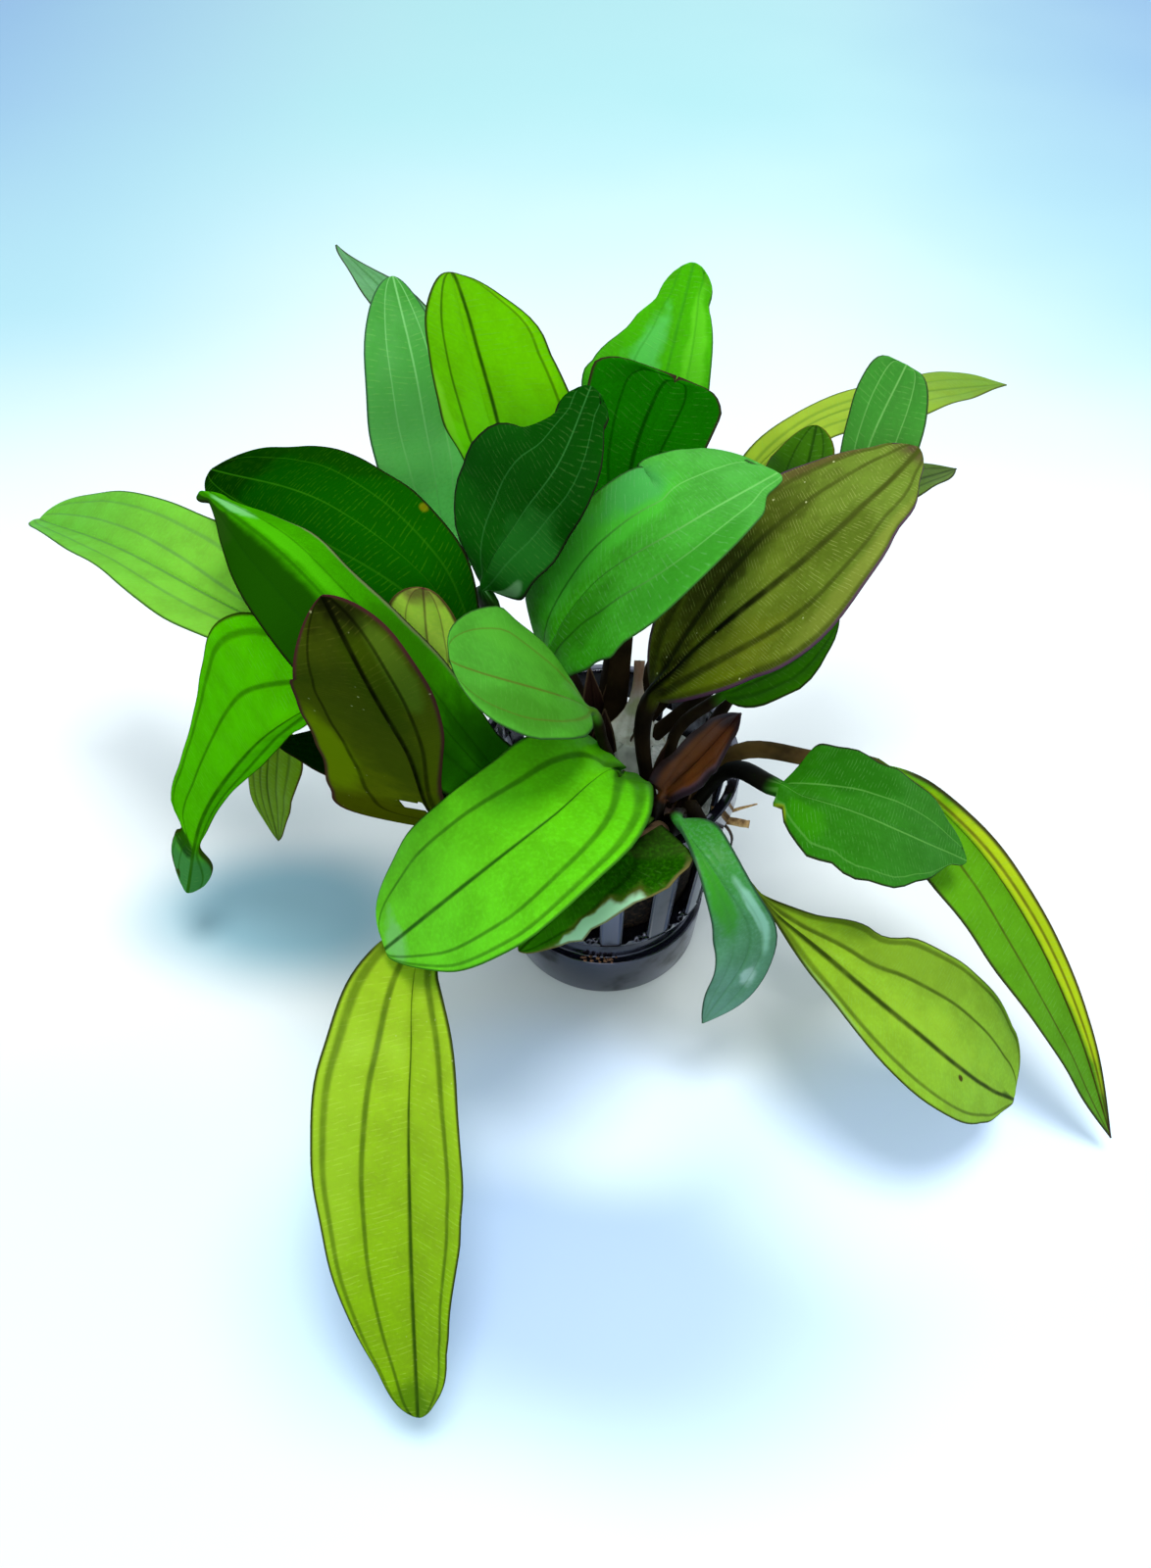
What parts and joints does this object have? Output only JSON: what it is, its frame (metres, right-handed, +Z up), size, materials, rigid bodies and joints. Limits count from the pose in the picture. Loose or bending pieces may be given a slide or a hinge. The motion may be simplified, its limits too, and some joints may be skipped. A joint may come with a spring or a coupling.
{
  "type": "potted amazon sword plant",
  "caption": "Aquarium plant: a rosette of broad, pointed, arching leaves on thin stalks, growing from two short crowns in a slotted black net pot packed with rockwool.",
  "frame": {"origin": "centre of the net pot's flat base, on the surface that it stands on", "axes": "+Z up along the pot's axis; -Y is the front, towards the long front leaf; +X is to the right as seen from the front"},
  "size_m": [0.2109, 0.1644, 0.139],
  "materials": {
    "pot_black_plastic": "gloss",
    "rockwool_white": "matte",
    "crown_brown": "matte",
    "root_tan": "matte",
    "leaf_dark_green": "satin",
    "leaf_green": "satin",
    "leaf_bright_green": "satin",
    "leaf_yellow_green": "satin",
    "leaf_olive": "satin",
    "leaf_red_brown": "satin"
  },
  "bodies": {
    "root": {"net_pot": "pot_black_plastic", "rockwool": "rockwool_white", "front_crown": "crown_brown", "back_crown": "crown_brown", "root_thick": "root_tan", "root_thin": "root_tan", "low_left_small": "leaf_olive", "low_left_dark": "leaf_dark_green", "left_hanging": "leaf_green", "far_left": "leaf_yellow_green", "small_olive_tip": "leaf_olive", "left_dark": "leaf_dark_green", "left_folded": "leaf_green", "left_olive": "leaf_olive", "back_far_point": "leaf_green", "back_left_green": "leaf_green", "back_yellow": "leaf_yellow_green", "centre_dark": "leaf_dark_green", "back_top_right": "leaf_green", "back_centre_dark": "leaf_dark_green", "centre_green": "leaf_green", "right_far_yellow": "leaf_yellow_green", "right_wedge": "leaf_olive", "right_back_green": "leaf_green", "right_small_tip": "leaf_yellow_green", "right_dark_under": "leaf_dark_green", "right_olive": "leaf_olive", "right_narrow": "leaf_yellow_green", "right_wavy": "leaf_green", "right_spoon": "leaf_yellow_green", "young_red": "leaf_red_brown", "front_twisted": "leaf_green", "front_low": "leaf_dark_green", "front_round": "leaf_green", "front_bright": "leaf_bright_green", "front_long": "leaf_yellow_green"}
  },
  "joints": []
}
